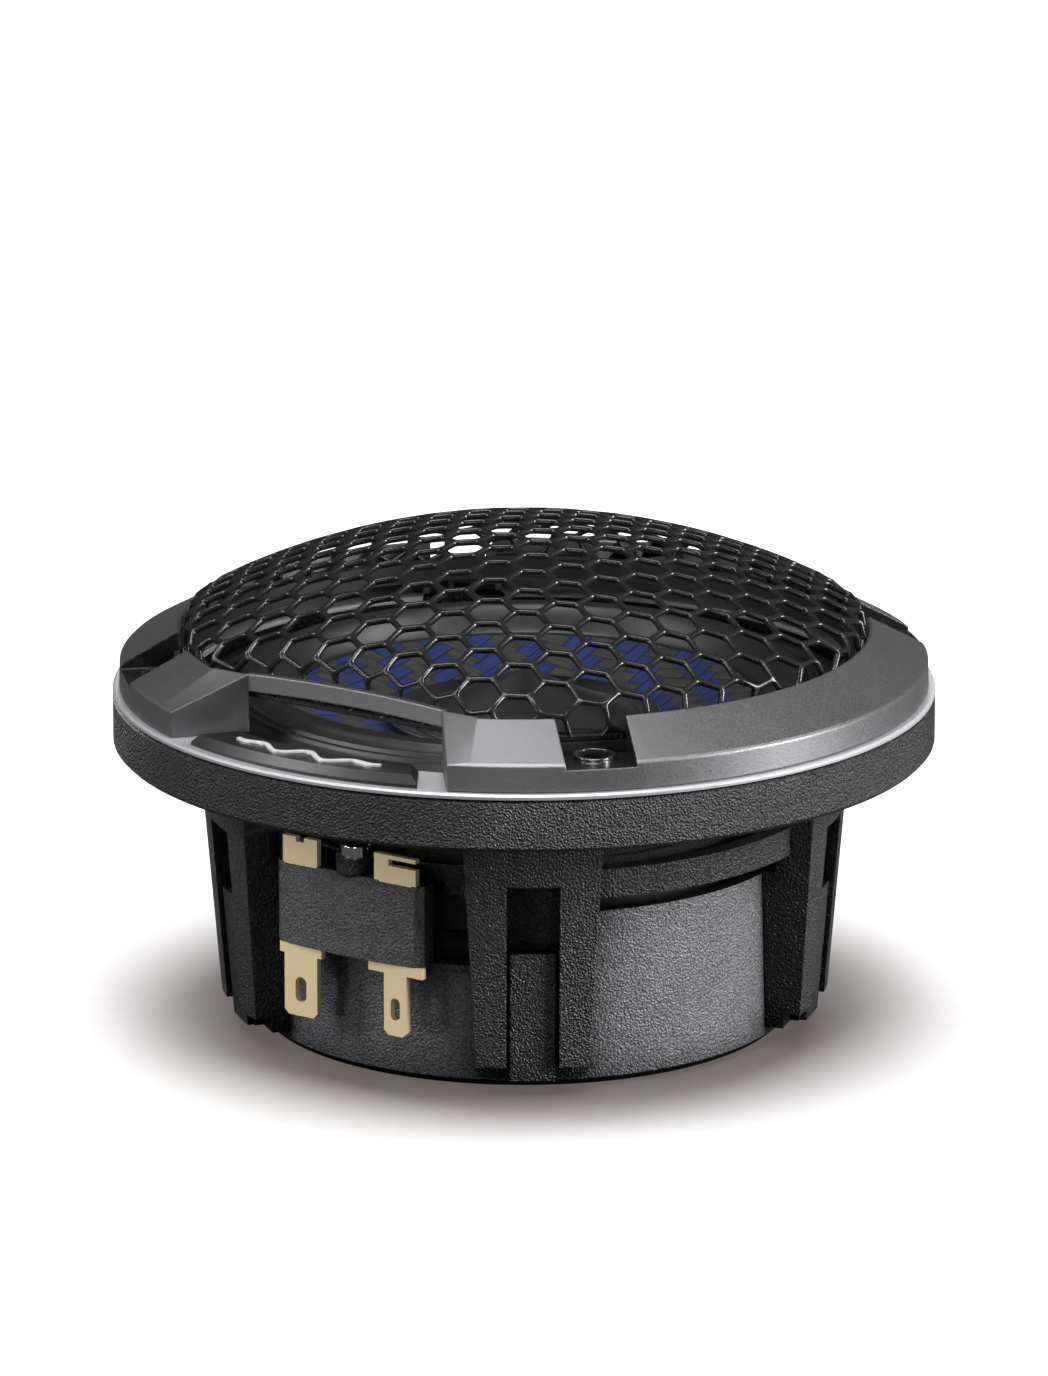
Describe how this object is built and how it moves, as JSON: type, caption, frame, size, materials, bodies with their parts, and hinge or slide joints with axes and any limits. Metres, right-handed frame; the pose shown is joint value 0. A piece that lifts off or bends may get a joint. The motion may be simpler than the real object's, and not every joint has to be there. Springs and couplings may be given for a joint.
{
  "type": "midrange car speaker",
  "caption": "Round car speaker: basket with deep motor cover, woven cone with turned cap, silver trim ring, spade terminals and lift-off hexagon mesh grille.",
  "frame": {"origin": "centre of the mounting face, the flat back of the flange", "axes": "+Z along the speaker axis towards the listener, badge towards -Y"},
  "size_m": [0.1, 0.1, 0.0601],
  "materials": {
    "basket_polymer": "fine pebbled, charcoal black",
    "black_screw": "black oxide",
    "plated_steel": "black zinc plated",
    "ferrite": "ground dark ceramic",
    "copper": "bare copper",
    "satin_ring": "satin silver",
    "badge_black": "semi-gloss black",
    "bright_emblem": "bright",
    "clamp_black": "matt black",
    "surround_rubber": "matt black rubber",
    "woven_cone": "blue and grey twill under resin",
    "turned_dark": "turned, dark anodised",
    "former_foil": "plain foil",
    "spider_cloth": "dark resin-dipped cloth",
    "braid": "tinned copper braid",
    "block_polymer": "fine textured dark grey",
    "tab_metal": "pale gold plated",
    "chrome_screw": "bright",
    "gunmetal_frame": "satin gunmetal, fine grain",
    "mesh_black": "satin black coating"
  },
  "bodies": {
    "chassis": {"basket": "basket_polymer", "motor_cover": "basket_polymer", "cover_screws": "black_screw", "top_plate": "plated_steel", "magnet": "ferrite", "t_yoke": "plated_steel", "shorting_sleeve": "copper", "motor_screws": "black_screw", "trim_ring": "satin_ring", "badge": "badge_black", "badge_emblem": "bright_emblem", "surround_clamp_ring": "clamp_black", "lead_positive": "braid", "lead_negative": "braid", "terminal_block": "block_polymer", "terminal_tab_positive": "tab_metal", "terminal_tab_negative": "tab_metal", "terminal_screw": "chrome_screw"},
    "diaphragm": {"cone": "woven_cone", "dust_cap_ring": "turned_dark", "dust_cap": "turned_dark", "voice_coil_former": "former_foil", "voice_coil_winding": "copper", "surround": "surround_rubber", "spider": "spider_cloth"},
    "grille": {"grille_frame": "gunmetal_frame", "grille_mesh": "mesh_black", "mesh_retainer": "clamp_black"}
  },
  "joints": [
    {"name": "cone_travel", "type": "slide", "parent": "chassis", "child": "diaphragm", "axis": [0, 0, 1], "range_m": [-0.0025, 0.0025], "stiffness_N_per_m": 900, "deforming": ["surround", "spider", "lead_positive", "lead_negative"]},
    {"name": "grille_lift", "type": "slide", "parent": "chassis", "child": "grille", "axis": [0, 0, 1], "range_m": [0, 0.045]}
  ]
}
